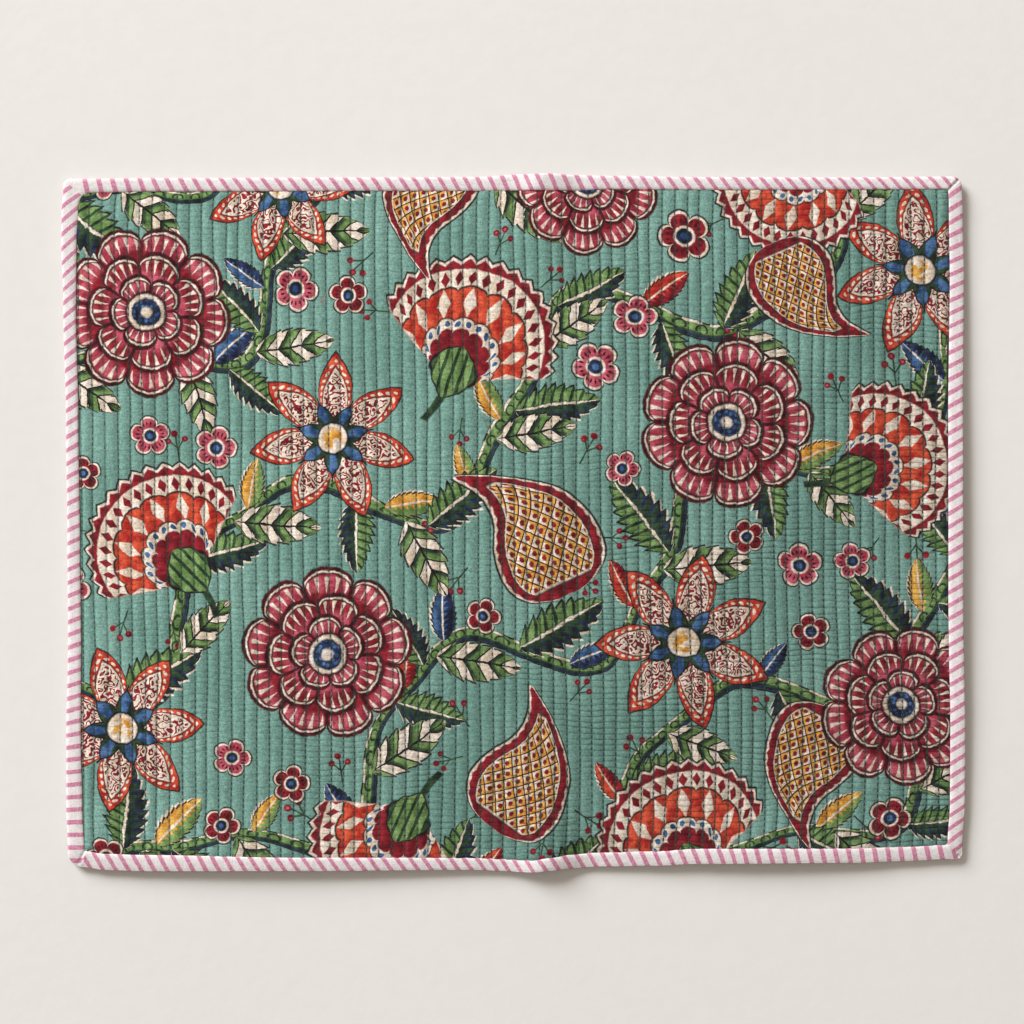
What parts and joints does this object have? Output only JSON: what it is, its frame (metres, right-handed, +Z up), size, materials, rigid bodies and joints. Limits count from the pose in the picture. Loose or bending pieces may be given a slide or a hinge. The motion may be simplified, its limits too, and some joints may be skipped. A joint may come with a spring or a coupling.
{
  "type": "quilted fabric placemat",
  "caption": "Flat rectangular quilted cotton placemat with a bias-bound rim, lying with a soft fold ridge across its middle and slightly curled edges.",
  "frame": {"origin": "on the table under the middle of the mat's outline", "axes": "+X along the long side, +Y towards the far long edge, +Z up off the table"},
  "size_m": [0.4556, 0.352, 0.0078],
  "materials": {
    "printed_cotton": "matt printed cotton, machine quilted",
    "binding_cotton": "matt striped cotton cut on the bias"
  },
  "bodies": {
    "root": {"quilted_panel": "printed_cotton", "binding": "binding_cotton"}
  },
  "joints": []
}
